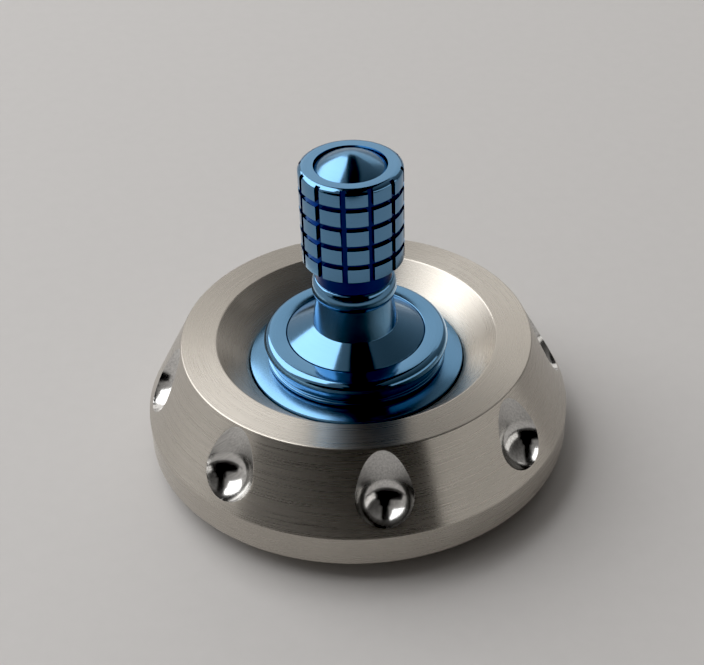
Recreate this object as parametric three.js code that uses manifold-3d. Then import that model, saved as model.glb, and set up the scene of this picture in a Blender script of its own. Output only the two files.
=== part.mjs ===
// A hand-twisted spinning top: a steel flywheel on a blue anodised handle, standing on a steel ball.
// Millimetres, +Z up along the spin axis. The origin is the lowest point of the ball, on the floor.

import * as THREE from 'three';
import { mergeVertices } from 'three/addons/utils/BufferGeometryUtils.js';
import Module from 'manifold-3d';

const wasm = await Module();
wasm.setup();

// ---- driving dimensions -------------------------------------------------------------------------

// fits between pieces, all radial or axial gaps
const SEAT_FIT = 0.08;          // flange in the flywheel's seat
const RUNNING_FIT = 0.05;       // thread against thread, tube against bore
const FACE_GAP = 0.02;          // faces that are tightened together
const EDGE_BREAK = 0.12;        // small chamfer on turned edges

// flywheel
const RIM_RADIUS = 16.05;
const BAND_HEIGHT = 2.3;        // upright band under the sloping side
const SLOPE_HEIGHT = 5.68;      // sloping side, from the band to the flat top ring
const TOP_RING_RADIUS = 13.1;   // outer edge of the flat top ring
const MOUTH_RADIUS = 10.5;      // inner edge of the flat top ring
const DISH_DEPTH = 2.1;
const DISH_FLOOR_RADIUS = 8.22;
const UNDERSIDE_CHAMFER = 0.4;
const POCKET_RADIUS = 10.6;     // clamp pocket in the underside
const POCKET_DEPTH = 2.05;
const TIP_STANDOFF = 1.35;      // underside of the flywheel above the floor

// finger dimples milled down the sloping side
const DIMPLE_COUNT = 8;
const DIMPLE_PHASE = 6.4;       // degrees from -Y towards +X
const DIMPLE_RADIUS = 2.27;
const DIMPLE_CENTRE_RADIUS = 15.45;
const DIMPLE_CENTRE_DROP = 2.8; // centre of the round end below the top ring

// hub
const FLANGE_RADIUS = 8.04;
const FLANGE_THICKNESS = 1.6;   // at its outer edge
const FLANGE_RISE = 0.19;       // the flange rises this much towards the handle
const FLANGE_PROUD = 0.16;      // outer edge above the floor of the dish
const TUBE_RADIUS = 5.0;
const HANDLE_THREAD_RADIUS = 2.5;
const TIP_THREAD_RADIUS = 2.0;
const TIP_BORE_HEIGHT = 4.6;    // where the handle's thread ends and the tip's begins
const COUNTERBORE_RADIUS = 3.5;
const COUNTERBORE_TOP = 3.4;

// clamp ring and its washer
const CLAMP_RADIUS = 8.6;
const CLAMP_THICKNESS = 1.4;
const WASHER_RADIUS = 8.2;
const WASHER_THICKNESS = 0.3;
const SPANNER_HOLE_COUNT = 2;
const SPANNER_HOLE_RADIUS = 0.6;
const SPANNER_HOLE_CENTRE = 6.9;

// o-rings
const HANDLE_SEAL_RADIUS = 3.7; // centre line
const HANDLE_SEAL_SECTION = 1.0;
const TIP_SEAL_RADIUS = 2.5;
const TIP_SEAL_SECTION = 0.8;
const SEAL_GROOVE_ROOM = 0.15;  // on each side of an o-ring
const GRIP_RING_RADIUS = 2.15;
const GRIP_RING_SECTION = 0.5;

// tip
const BALL_RADIUS = 1.5;
const TIP_HEAD_RADIUS = 3.4;
const TIP_HEAD_SHOULDER = 1.5;  // height where the head starts to narrow
const TIP_LIP_WALL = 0.25;      // round the ball
const TIP_LIP_HEIGHT = 0.7;
const TIP_FLATS = 5.6;          // across the spanner flats
const TIP_FLATS_TOP = 2.0;
const TIP_THREAD_TOP = 4.4;

// handle, heights counted from the flywheel's flat top ring
const BUTTON_BOTTOM = -1.62;
const BUTTON_LIP_RADIUS = 6.72;
const BUTTON_WAIST_RADIUS = 6.5;
const BUTTON_RADIUS = 6.9;
const BUTTON_TOP = 0.33;
const BUTTON_ROUND = 0.42;
const BUTTON_UNDERCUT = 15;     // degrees, how far the rounded edge turns in underneath
const FLARE_RADIUS = 5.13;
const FLARE_EDGE = 0.4;         // thickness of the flare's edge, let into the hub cap
const FLARE_FIT = 0.07;
const SPIGOT_RADIUS = 4.6;      // the handle's foot inside the hub cap
const FLARE_TOP = 1.37;
const COLUMN_FOOT_RADIUS = 3.16;
const COLUMN_TOP_RADIUS = 2.77;
const COLUMN_TOP = 4.1;
const BEAD_RADIUS = 3.12;
const BEAD_TOP = 4.86;
const BEAD_SHOULDER = 5.46;
const NECK_RADIUS = 2.8;
const HANDLE_THREAD_LENGTH = 3.2;

// grip
const GRIP_RADIUS = 3.7;
const GRIP_BOTTOM = 6.95;
const GRIP_TOP = 14.55;
const GRIP_ROUND = 0.35;
const GRIP_BOTTOM_CHAMFER = 0.15;
const RING_GROOVES = [8.38, 9.98, 11.52, 13.04];
const RING_GROOVE_WIDTH = 0.49;
const SLOT_COUNT = 12;
const SLOT_PHASE = -9.5;        // degrees from -Y towards +X
const SLOT_WIDTH = 0.5;
const GROOVE_DEPTH = 0.22;
const POST_RADIUS = 1.85;       // the handle's post inside the grip
const POST_TOP = 12.6;

// cap in the top of the grip
const CAP_RADIUS = 2.53;
const CAP_FIT = 0.07;
const CAP_EDGE = 14.33;         // height of the dome's edge
const CAP_EDGE_SLOPE = 38;      // degrees, the dome's side at its edge
const CAP_NOSE_SLOPE = 15;      // degrees, the dome's side where its nose begins
const CAP_NOSE_EDGE = 0.35;     // radius where the nose begins
const CAP_SCREW_RADIUS = 0.9;
const CAP_SCREW_LENGTH = 3.4;
const CAP_SCREW_ROOM = 0.08;    // left under the cap's screw

// how finely round shapes are divided
const WHEEL_SIDES = 64;
const HANDLE_SIDES = 40;
const SMALL_SIDES = 24;
const SECTION_SIDES = 10;
const NOSE_STEPS = 6;
const ROUND_STEPS = 4;
const NOSE_TIP_STEPS = 2;
const HOLE_SIDES = 16;

// ---- heights that follow from them ----------------------------------------------------------------

const underside = TIP_STANDOFF;
const bandBottom = underside + UNDERSIDE_CHAMFER;
const rimHeight = bandBottom + BAND_HEIGHT;
const topRing = rimHeight + SLOPE_HEIGHT;
const dishFloor = topRing - DISH_DEPTH;
const seatRadius = FLANGE_RADIUS + SEAT_FIT;
const flangeEdge = dishFloor + FLANGE_PROUD;
const seatFloor = flangeEdge - FLANGE_THICKNESS;
const pocketRoof = underside + POCKET_DEPTH;
const wheelBore = TUBE_RADIUS + RUNNING_FIT;
const clampTop = pocketRoof - WASHER_THICKNESS - FACE_GAP;
const clampBottom = clampTop - CLAMP_THICKNESS;
const flangeTop = flangeEdge + FLANGE_RISE;
const buttonBottom = topRing + BUTTON_BOTTOM;
const tipHeadTop = COUNTERBORE_TOP - TIP_SEAL_SECTION;
const handleSealBottom = buttonBottom - HANDLE_SEAL_SECTION - FACE_GAP / 2;

// ---- helpers --------------------------------------------------------------------------------------

const blueMetal = new THREE.MeshStandardMaterial({ color: 0x3f7fb4, roughness: 0.22, metalness: 1.0 });
const steel = new THREE.MeshStandardMaterial({ color: 0xb4aca2, roughness: 0.34, metalness: 1.0 });
const darkSteel = new THREE.MeshStandardMaterial({ color: 0x7d7b78, roughness: 0.4, metalness: 1.0 });
const rubber = new THREE.MeshStandardMaterial({ color: 0x151515, roughness: 0.8, metalness: 0.0 });
const nylon = new THREE.MeshStandardMaterial({ color: 0xe6e2d6, roughness: 0.6, metalness: 0.0 });
const polished = new THREE.MeshStandardMaterial({ color: 0xd8d8da, roughness: 0.06, metalness: 1.0 });

// turns an outline of [radius, height] points round the spin axis
function turned(outline, sides) {
  const points = outline.map(([radius, height]) => new THREE.Vector2(radius, height));
  return new THREE.LatheGeometry(points, sides).rotateX(Math.PI / 2);
}

// a ring's outline, closed on itself
function closed(outline) {
  return [...outline, outline[0]];
}

// points of an arc round [radius, height], from one angle to another, in degrees from the horizontal
function arc(radius, height, size, from, to, steps) {
  const points = [];
  for (let i = 0; i <= steps; i += 1) {
    const angle = THREE.MathUtils.degToRad(from + (to - from) * i / steps);
    points.push([radius + size * Math.cos(angle), height + size * Math.sin(angle)]);
  }
  return points;
}

// moves a geometry from -Y round the spin axis
function atBearing(geometry, degrees) {
  return geometry.rotateZ(THREE.MathUtils.degToRad(degrees));
}

function toSolid(geometry) {
  const bare = geometry.clone();
  bare.deleteAttribute('normal');
  bare.deleteAttribute('uv');
  const merged = mergeVertices(bare, 1e-4);
  return new wasm.Manifold(new wasm.Mesh({
    numProp: 3,
    vertProperties: new Float32Array(merged.attributes.position.array),
    triVerts: new Uint32Array(merged.index.array),
  }));
}

function toGeometry(solid) {
  const mesh = solid.getMesh();
  const geometry = new THREE.BufferGeometry();
  geometry.setAttribute('position', new THREE.BufferAttribute(new Float32Array(mesh.vertProperties), 3));
  geometry.setIndex(new THREE.BufferAttribute(new Uint32Array(mesh.triVerts), 1));
  geometry.computeVertexNormals();
  return geometry;
}

function cut(geometry, cutters) {
  let solid = toSolid(geometry);
  for (const cutter of cutters) {
    solid = solid.subtract(toSolid(cutter));
  }
  return toGeometry(solid);
}

function piece(name, geometry, material) {
  const mesh = new THREE.Mesh(geometry, material);
  mesh.name = name;
  return mesh;
}

// an o-ring, drawn as a torus whose section is a circle
function oRing(name, radius, section, bottom) {
  const outline = arc(radius, bottom + section / 2, section / 2, 0, 360, SECTION_SIDES);
  outline[outline.length - 1] = outline[0];
  return piece(name, turned(outline, SMALL_SIDES), rubber);
}

// ---- flywheel -------------------------------------------------------------------------------------

// one dimple: a round-nosed cutter that stands upright in the sloping side
function dimpleCutter(bearing) {
  const noseHeight = topRing - DIMPLE_CENTRE_DROP;
  const outline = [
    ...arc(0, noseHeight, DIMPLE_RADIUS, -90, 0, NOSE_STEPS),
    [DIMPLE_RADIUS, topRing + DIMPLE_RADIUS],
    [0, topRing + DIMPLE_RADIUS],
  ];
  outline[0][0] = 0;
  const cutter = turned(outline, SMALL_SIDES).translate(0, -DIMPLE_CENTRE_RADIUS, 0);
  return atBearing(cutter, bearing);
}

function flywheel() {
  const outline = closed([
    [wheelBore, pocketRoof],
    [POCKET_RADIUS, pocketRoof],
    [POCKET_RADIUS, underside + EDGE_BREAK],
    [POCKET_RADIUS + EDGE_BREAK, underside],
    [RIM_RADIUS - UNDERSIDE_CHAMFER, underside],
    [RIM_RADIUS, bandBottom],
    [RIM_RADIUS, rimHeight - EDGE_BREAK],
    [RIM_RADIUS - EDGE_BREAK, rimHeight],
    [TOP_RING_RADIUS, topRing - EDGE_BREAK],
    [TOP_RING_RADIUS - EDGE_BREAK, topRing],
    [MOUTH_RADIUS, topRing],
    [DISH_FLOOR_RADIUS, dishFloor],
    [seatRadius, dishFloor - EDGE_BREAK],
    [seatRadius, seatFloor],
    [wheelBore, seatFloor],
  ]);
  const dimples = [];
  for (let i = 0; i < DIMPLE_COUNT; i += 1) {
    dimples.push(dimpleCutter(DIMPLE_PHASE + i * 360 / DIMPLE_COUNT));
  }
  return piece('flywheel', cut(turned(outline, WHEEL_SIDES), dimples), steel);
}

// ---- hub and clamp --------------------------------------------------------------------------------

function hubInsert() {
  const grooveInside = HANDLE_SEAL_RADIUS - HANDLE_SEAL_SECTION / 2 - SEAL_GROOVE_ROOM;
  const grooveOutside = HANDLE_SEAL_RADIUS + HANDLE_SEAL_SECTION / 2 + SEAL_GROOVE_ROOM;
  const grooveFloor = buttonBottom - HANDLE_SEAL_SECTION - FACE_GAP;
  const bore = HANDLE_THREAD_RADIUS + RUNNING_FIT;
  const tipBore = TIP_THREAD_RADIUS + RUNNING_FIT;
  const outline = closed([
    [tipBore, COUNTERBORE_TOP],
    [COUNTERBORE_RADIUS, COUNTERBORE_TOP],
    [COUNTERBORE_RADIUS, clampBottom],
    [TUBE_RADIUS - EDGE_BREAK, clampBottom],
    [TUBE_RADIUS, clampBottom + EDGE_BREAK],
    [TUBE_RADIUS, seatFloor + FACE_GAP],
    [FLANGE_RADIUS, seatFloor + FACE_GAP],
    [FLANGE_RADIUS, flangeEdge - EDGE_BREAK],
    [FLANGE_RADIUS - EDGE_BREAK, flangeEdge],
    [BUTTON_WAIST_RADIUS, flangeTop],
    [grooveOutside, flangeTop],
    [grooveOutside, grooveFloor],
    [grooveInside, grooveFloor],
    [grooveInside, flangeTop],
    [bore, flangeTop],
    [bore, TIP_BORE_HEIGHT],
    [tipBore, TIP_BORE_HEIGHT],
  ]);
  return piece('hub_insert', turned(outline, HANDLE_SIDES), blueMetal);
}

function clampWasher() {
  const top = pocketRoof - FACE_GAP / 2;
  const outline = closed([
    [wheelBore, top - WASHER_THICKNESS],
    [WASHER_RADIUS, top - WASHER_THICKNESS],
    [WASHER_RADIUS, top],
    [wheelBore, top],
  ]);
  return piece('clamp_washer', turned(outline, HANDLE_SIDES), nylon);
}

function clampRing() {
  const outline = closed([
    [wheelBore, clampBottom],
    [CLAMP_RADIUS - EDGE_BREAK, clampBottom],
    [CLAMP_RADIUS, clampBottom + EDGE_BREAK],
    [CLAMP_RADIUS, clampTop],
    [wheelBore, clampTop],
  ]);
  const through = 4 * CLAMP_THICKNESS;
  const holes = [];
  for (let i = 0; i < SPANNER_HOLE_COUNT; i += 1) {
    const hole = new THREE.CylinderGeometry(SPANNER_HOLE_RADIUS, SPANNER_HOLE_RADIUS, through, HOLE_SIDES);
    hole.rotateX(Math.PI / 2).translate(0, -SPANNER_HOLE_CENTRE, clampBottom);
    holes.push(atBearing(hole, i * 360 / SPANNER_HOLE_COUNT));
  }
  return piece('clamp_ring', cut(turned(outline, HANDLE_SIDES), holes), darkSteel);
}

// ---- tip ------------------------------------------------------------------------------------------

function tipCarrier() {
  const pocket = BALL_RADIUS + RUNNING_FIT;
  const pocketTop = 2 * BALL_RADIUS + FACE_GAP;
  const outline = [
    [0, pocketTop],
    [pocket, pocketTop],
    [pocket, TIP_LIP_HEIGHT],
    [pocket + TIP_LIP_WALL, TIP_LIP_HEIGHT],
    [TIP_HEAD_RADIUS, TIP_HEAD_SHOULDER],
    [TIP_HEAD_RADIUS, tipHeadTop - EDGE_BREAK],
    [TIP_HEAD_RADIUS - EDGE_BREAK, tipHeadTop],
    [TIP_THREAD_RADIUS, tipHeadTop],
    [TIP_THREAD_RADIUS, TIP_THREAD_TOP - EDGE_BREAK],
    [TIP_THREAD_RADIUS - EDGE_BREAK, TIP_THREAD_TOP],
    [0, TIP_THREAD_TOP],
  ];
  const waste = TIP_HEAD_RADIUS;
  const flats = [-1, 1].map((side) => {
    const block = new THREE.BoxGeometry(waste, 4 * TIP_HEAD_RADIUS, TIP_FLATS_TOP);
    return block.translate(side * (TIP_FLATS + waste) / 2, 0, TIP_FLATS_TOP / 2);
  });
  return piece('tip_carrier', cut(turned(outline, SMALL_SIDES), flats), darkSteel);
}

function tipBall() {
  const ball = new THREE.SphereGeometry(BALL_RADIUS, SMALL_SIDES, SMALL_SIDES / 2).rotateX(Math.PI / 2);
  return piece('tip_ball', ball.translate(0, 0, BALL_RADIUS), polished);
}

// ---- handle ---------------------------------------------------------------------------------------

// the ring that the handle's flare holds down on the hub
function hubCap() {
  const roundCentre = BUTTON_TOP - BUTTON_ROUND;
  const bottom = BUTTON_BOTTOM;
  const spigotHole = SPIGOT_RADIUS + RUNNING_FIT;
  const ledge = BUTTON_TOP - FLARE_EDGE - FACE_GAP;
  const outline = closed([
    [spigotHole, bottom],
    [BUTTON_LIP_RADIUS - EDGE_BREAK, bottom],
    [BUTTON_LIP_RADIUS, bottom + EDGE_BREAK],
    [BUTTON_LIP_RADIUS, bottom + 2 * EDGE_BREAK],
    [BUTTON_WAIST_RADIUS, bottom + 3 * EDGE_BREAK],
    [BUTTON_WAIST_RADIUS, roundCentre - 2 * BUTTON_ROUND],
    ...arc(BUTTON_RADIUS - BUTTON_ROUND, roundCentre, BUTTON_ROUND, -BUTTON_UNDERCUT, 90, ROUND_STEPS),
    [FLARE_RADIUS + FLARE_FIT, BUTTON_TOP],
    [FLARE_RADIUS + FLARE_FIT, ledge],
    [spigotHole, ledge],
  ]);
  return piece('hub_cap', turned(outline, HANDLE_SIDES).translate(0, 0, topRing), blueMetal);
}

// heights in this outline are counted from the flywheel's top ring
function handle() {
  const threadBottom = BUTTON_BOTTOM - HANDLE_THREAD_LENGTH;
  const screwBore = CAP_SCREW_RADIUS + RUNNING_FIT;
  const screwBoreBottom = CAP_EDGE - CAP_SCREW_LENGTH - CAP_SCREW_ROOM;
  const outline = [
    [0, threadBottom],
    [HANDLE_THREAD_RADIUS - EDGE_BREAK, threadBottom],
    [HANDLE_THREAD_RADIUS, threadBottom + EDGE_BREAK],
    [HANDLE_THREAD_RADIUS, BUTTON_BOTTOM],
    [SPIGOT_RADIUS, BUTTON_BOTTOM],
    [SPIGOT_RADIUS, BUTTON_TOP - FLARE_EDGE],
    [FLARE_RADIUS, BUTTON_TOP - FLARE_EDGE],
    [FLARE_RADIUS, BUTTON_TOP],
    [COLUMN_FOOT_RADIUS, FLARE_TOP],
    [COLUMN_TOP_RADIUS, COLUMN_TOP],
    [BEAD_RADIUS, COLUMN_TOP + EDGE_BREAK],
    [BEAD_RADIUS, BEAD_TOP],
    [NECK_RADIUS, BEAD_SHOULDER],
    [NECK_RADIUS, GRIP_BOTTOM],
    [POST_RADIUS, GRIP_BOTTOM],
    [POST_RADIUS, POST_TOP],
    [screwBore, POST_TOP],
    [screwBore, screwBoreBottom],
    [0, screwBoreBottom],
  ];
  return piece('handle', turned(outline, HANDLE_SIDES).translate(0, 0, topRing), blueMetal);
}

function slotCutter(bearing) {
  const length = 2 * (GRIP_TOP - GRIP_BOTTOM);
  const depth = 2 * GROOVE_DEPTH;
  const block = new THREE.BoxGeometry(SLOT_WIDTH, depth, length);
  block.translate(0, -GRIP_RADIUS, (GRIP_BOTTOM + GRIP_TOP) / 2);
  return atBearing(block, bearing);
}

function gripSleeve() {
  const bottom = GRIP_BOTTOM + FACE_GAP;
  const bore = POST_RADIUS + RUNNING_FIT;
  const recess = CAP_RADIUS + CAP_FIT;
  const ledge = POST_TOP + FACE_GAP;
  const outline = [
    [bore, bottom],
    [GRIP_RADIUS - GRIP_BOTTOM_CHAMFER, bottom],
    [GRIP_RADIUS, bottom + GRIP_BOTTOM_CHAMFER],
  ];
  for (const centre of RING_GROOVES) {
    outline.push([GRIP_RADIUS, centre - RING_GROOVE_WIDTH / 2]);
    outline.push([GRIP_RADIUS - GROOVE_DEPTH, centre - RING_GROOVE_WIDTH / 2]);
    outline.push([GRIP_RADIUS - GROOVE_DEPTH, centre + RING_GROOVE_WIDTH / 2]);
    outline.push([GRIP_RADIUS, centre + RING_GROOVE_WIDTH / 2]);
  }
  outline.push(...arc(GRIP_RADIUS - GRIP_ROUND, GRIP_TOP - GRIP_ROUND, GRIP_ROUND, 0, 90, ROUND_STEPS));
  outline.push([recess + EDGE_BREAK / 2, GRIP_TOP]);
  outline.push([recess, GRIP_TOP - EDGE_BREAK]);
  outline.push([recess, ledge]);
  outline.push([bore, ledge]);
  const slots = [];
  for (let i = 0; i < SLOT_COUNT; i += 1) {
    slots.push(slotCutter(SLOT_PHASE + i * 360 / SLOT_COUNT));
  }
  const sleeve = cut(turned(closed(outline), HANDLE_SIDES), slots);
  return piece('grip_sleeve', sleeve.translate(0, 0, topRing), blueMetal);
}

// the domed screw that holds the grip down on its post; the dome is pointed, with a rounded nose
function gripCap() {
  const edgeSlope = THREE.MathUtils.degToRad(CAP_EDGE_SLOPE);
  const noseSlope = THREE.MathUtils.degToRad(CAP_NOSE_SLOPE);
  const side = (CAP_RADIUS - CAP_NOSE_EDGE) / (Math.sin(edgeSlope) - Math.sin(noseSlope));
  const sideCentre = CAP_EDGE - side * Math.cos(edgeSlope);
  const noseRadius = CAP_NOSE_EDGE / Math.sin(noseSlope);
  const noseCentre = sideCentre + (side - noseRadius) * Math.cos(noseSlope);
  const headBottom = POST_TOP + GRIP_RING_SECTION + FACE_GAP;
  const nose = arc(0, noseCentre, noseRadius, 90 - CAP_NOSE_SLOPE, 90, NOSE_TIP_STEPS);
  nose[nose.length - 1][0] = 0;
  const outline = [
    [0, CAP_EDGE - CAP_SCREW_LENGTH],
    [CAP_SCREW_RADIUS, CAP_EDGE - CAP_SCREW_LENGTH],
    [CAP_SCREW_RADIUS, headBottom],
    [CAP_RADIUS, headBottom],
    ...arc(CAP_RADIUS - side * Math.sin(edgeSlope), sideCentre, side,
      90 - CAP_EDGE_SLOPE, 90 - CAP_NOSE_SLOPE, ROUND_STEPS),
    ...nose.slice(1),
  ];
  return piece('grip_cap', turned(outline, HANDLE_SIDES).translate(0, 0, topRing), blueMetal);
}

// ---- the whole top --------------------------------------------------------------------------------

const top = new THREE.Group();
top.add(
  flywheel(),
  hubInsert(),
  clampWasher(),
  clampRing(),
  oRing('handle_seal', HANDLE_SEAL_RADIUS, HANDLE_SEAL_SECTION, handleSealBottom),
  hubCap(),
  handle(),
  gripSleeve(),
  oRing('grip_ring', GRIP_RING_RADIUS, GRIP_RING_SECTION, topRing + POST_TOP + FACE_GAP / 2),
  gripCap(),
  oRing('tip_seal', TIP_SEAL_RADIUS, TIP_SEAL_SECTION - 2 * FACE_GAP, tipHeadTop + FACE_GAP),
  tipCarrier(),
  tipBall(),
);

export default top;
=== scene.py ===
import math

import bpy
from mathutils import Matrix, Vector


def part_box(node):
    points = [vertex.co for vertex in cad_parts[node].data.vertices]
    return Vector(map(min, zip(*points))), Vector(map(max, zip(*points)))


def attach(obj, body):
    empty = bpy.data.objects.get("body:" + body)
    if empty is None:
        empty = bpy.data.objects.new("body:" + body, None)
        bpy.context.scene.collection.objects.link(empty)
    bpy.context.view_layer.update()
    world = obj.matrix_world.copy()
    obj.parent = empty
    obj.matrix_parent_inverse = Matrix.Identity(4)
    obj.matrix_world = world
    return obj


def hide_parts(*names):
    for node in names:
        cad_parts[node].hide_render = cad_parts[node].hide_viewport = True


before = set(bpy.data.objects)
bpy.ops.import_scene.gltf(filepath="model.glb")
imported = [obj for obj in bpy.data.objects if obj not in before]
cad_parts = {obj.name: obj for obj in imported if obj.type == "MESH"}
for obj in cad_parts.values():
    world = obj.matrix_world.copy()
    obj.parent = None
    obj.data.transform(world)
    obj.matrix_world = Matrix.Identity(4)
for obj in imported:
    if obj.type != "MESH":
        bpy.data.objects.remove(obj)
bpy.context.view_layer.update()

bl_info = {
    "name": "Spinning top",
    "version": (1, 0, 0),
    "blender": (4, 5, 0),
    "location": "View3D > Sidebar > Spinning top",
    "description": "Models and dresses a hand-twisted metal spinning top around its packed frame",
    "category": "Object",
}

MM = 0.001
WELD = 1e-7

# How finely round shapes are divided.
WHEEL_SIDES = 480
HANDLE_SIDES = 240
SMALL_SIDES = 160
TORUS_SIDES = 24
ARC_STEP = math.radians(7.5)

# Angles between faces above which an edge stays sharp, in degrees.
SMOOTH_LIMIT = 32.0
TORUS_SMOOTH_LIMIT = 60.0

# Shares of a noise value that carry its useful contrast.
NOISE_LOW, NOISE_HIGH = 0.3, 0.7

# Dimple finish: roughness when polished and when milled, and how far the change reaches.
POLISHED_ROUGHNESS, MILLED_ROUGHNESS = 0.17, 0.42
MILLED_BELOW, MILLED_ABOVE = 0.6 * MM, 0.7 * MM

# A thread's crest, as shares of its pitch.
CREST_START, CREST_END = 0.4, 0.6

# Area lights: name, direction from the top, distance, width, height, power, colour.
LIGHTS = (
    ("window", (-0.56, 0.29, 0.77), 0.9, 1.0, 0.86, 7.0, (0.98, 0.99, 1.0)),
    ("right_window", (0.92, -0.33, 0.21), 1.2, 1.7, 0.42, 1.9, (1.0, 0.98, 0.95)),
    ("far_wall", (0.08, 0.86, 0.5), 1.3, 1.4, 0.7, 1.75, (1.0, 0.985, 0.96)),
)

# Dark cards: name, middle, size, turn about X in degrees.
CARDS = (
    ("low_card", (-0.18, -0.40, 0.155), (0.98, 0.30, 1.0), 90.0),
    ("high_card", (0.035, 0.06, 0.40), (0.175, 0.74, 1.0), 0.0),
    ("floor_card", (0.0, -0.225, 0.001), (0.6, 0.35, 1.0), 0.0),
    ("slant_card", (0.045, -0.36, 0.37), (0.34, 0.20, 1.0), 45.0),
)

# Places that come from the frame, in metres.
WHEEL_LOW, WHEEL_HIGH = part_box("flywheel")
HUB_LOW, HUB_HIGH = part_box("hub_insert")
WASHER_LOW, WASHER_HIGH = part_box("clamp_washer")
CLAMP_LOW, CLAMP_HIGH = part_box("clamp_ring")
HUB_CAP_LOW, HUB_CAP_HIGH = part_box("hub_cap")
HANDLE_LOW, HANDLE_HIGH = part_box("handle")
GRIP_LOW, GRIP_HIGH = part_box("grip_sleeve")
CAP_LOW, CAP_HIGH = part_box("grip_cap")
CARRIER_LOW, CARRIER_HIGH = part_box("tip_carrier")
BALL_LOW, BALL_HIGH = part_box("tip_ball")


# ---- sizes and colours ----------------------------------------------------------------------------

def length(name, description, default):
    """A length in metres, given here in millimetres."""
    return bpy.props.FloatProperty(
        name=name, description=description, default=default * MM, min=0.0, precision=5,
        subtype="DISTANCE", unit="LENGTH")


def count(name, description, default):
    return bpy.props.IntProperty(name=name, description=description, default=default, min=1)


def angle(name, description, default):
    """An angle in radians, given here in degrees."""
    return bpy.props.FloatProperty(
        name=name, description=description, default=math.radians(default), subtype="ANGLE", unit="ROTATION")


def share(name, description, default):
    return bpy.props.FloatProperty(name=name, description=description, default=default, min=0.0, max=1.0,
                                   subtype="FACTOR")


def colour(name, description, default):
    return bpy.props.FloatVectorProperty(
        name=name, description=description, default=default, size=3, min=0.0, max=1.0, subtype="COLOR")


class SPINTOP_PG_wheel(bpy.types.PropertyGroup):
    band: length("Band height", "Upright band under the sloping side", 2.3)
    ring_outside: length("Ring outside", "Outer radius of the flat top ring", 13.1)
    ring_inside: length("Ring inside", "Inner radius of the flat top ring", 10.5)
    dish_depth: length("Dish depth", "Depth of the conical dish", 2.1)
    dish_floor: length("Dish floor", "Radius where the dish meets the hub's seat", 8.22)
    seat: length("Seat radius", "Radius of the seat round the hub's flange", 8.12)
    seat_depth: length("Seat depth", "Depth of the hub's seat below the dish", 1.44)
    bore: length("Bore radius", "Bore for the hub's tube", 5.05)
    pocket: length("Pocket radius", "Clamp pocket in the underside", 10.6)
    pocket_depth: length("Pocket depth", "Depth of the clamp pocket", 2.05)
    chamfer: length("Underside chamfer", "Chamfer on the lower outer edge", 0.4)
    edge: length("Edge rounding", "Rounding of the turned edges", 0.06)
    dimples: count("Dimples", "Finger dimples round the sloping side", 8)
    dimple_phase: angle("Dimple phase", "Bearing of the first dimple, from -Y towards +X", 6.4)
    dimple_radius: length("Dimple radius", "Radius of the round-nosed cutter", 2.27)
    dimple_place: length("Dimple place", "Distance of the cutter from the spin axis", 15.45)
    dimple_drop: length("Dimple drop", "Centre of the cutter's nose below the top ring", 2.8)
    dimple_lip: length("Dimple lip", "Width of the polished lip round a dimple", 0.09)


class SPINTOP_PG_hub(bpy.types.PropertyGroup):
    flange_edge: length("Flange edge", "Height of the flange's edge above the dish floor", 0.16)
    flange_rise: length("Flange rise", "How far the flange rises towards the handle", 0.19)
    flange_thickness: length("Flange thickness", "Thickness at the flange's edge", 1.58)
    tube: length("Tube radius", "Outside of the hub's tube", 5.0)
    handle_bore: length("Handle bore", "Bore for the handle's thread", 2.55)
    tip_bore: length("Tip bore", "Bore for the tip's thread", 2.05)
    tip_bore_top: length("Tip bore top", "Height where the two bores meet", 4.6)
    counterbore: length("Counterbore", "Counterbore round the tip's head", 3.5)
    counterbore_top: length("Counterbore top", "Height of the counterbore's end", 3.4)
    groove_inside: length("Groove inside", "Inner wall of the seal's groove", 3.05)
    groove_outside: length("Groove outside", "Outer wall of the seal's groove", 4.35)
    groove_depth: length("Groove depth", "Depth of the seal's groove", 0.89)
    waist: length("Button waist", "Radius of the hub cap between its two steps", 6.5)
    lip: length("Button lip", "Radius of the hub cap's lower lip", 6.72)
    lip_height: length("Lip height", "Height of the lower lip", 0.24)
    step_round: length("Step rounding", "Rounding of the hub cap's upper step", 0.6)
    step_height: length("Step height", "Height of the hub cap's upper step", 1.26)
    seam: length("Seam radius", "Radius of the seam round the flare", 5.2)
    seam_depth: length("Seam depth", "Depth of the seam round the flare", 0.42)
    spigot: length("Spigot hole", "Hole in the hub cap for the handle's foot", 4.65)
    edge: length("Edge rounding", "Rounding of the hub's edges", 0.05)


class SPINTOP_PG_handle(bpy.types.PropertyGroup):
    thread: length("Thread radius", "Crest of the handle's thread", 2.5)
    thread_depth: length("Thread depth", "Depth of the handle's thread", 0.3)
    thread_pitch: length("Thread pitch", "Rise of the handle's thread in one turn", 0.8)
    spigot: length("Spigot", "Foot of the handle inside the hub cap", 4.6)
    flare: length("Flare radius", "Outer radius of the flare", 5.13)
    flare_edge: length("Flare edge", "Thickness of the flare's edge", 0.4)
    flare_top: length("Flare top", "Height of the flare above the top ring", 1.37)
    foot: length("Column foot", "Radius of the column at the flare", 3.16)
    column: length("Column top", "Radius of the column under the bead", 2.77)
    column_top: length("Column height", "Top of the column above the top ring", 3.85)
    bead: length("Bead radius", "Radius of the bead", 3.12)
    bead_middle: length("Bead middle", "Height of the bead's widest place above the top ring", 4.43)
    bead_top: length("Bead top", "Top of the bead above the top ring", 5.4)
    neck: length("Neck radius", "Radius of the neck under the grip", 2.8)
    post: length("Post radius", "Post inside the grip", 1.85)
    screw_bore: length("Screw bore", "Bore for the cap's screw", 0.95)
    screw_bore_depth: length("Screw bore depth", "Depth of the cap's screw bore", 1.75)
    edge: length("Edge rounding", "Rounding of the handle's edges", 0.05)


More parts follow.
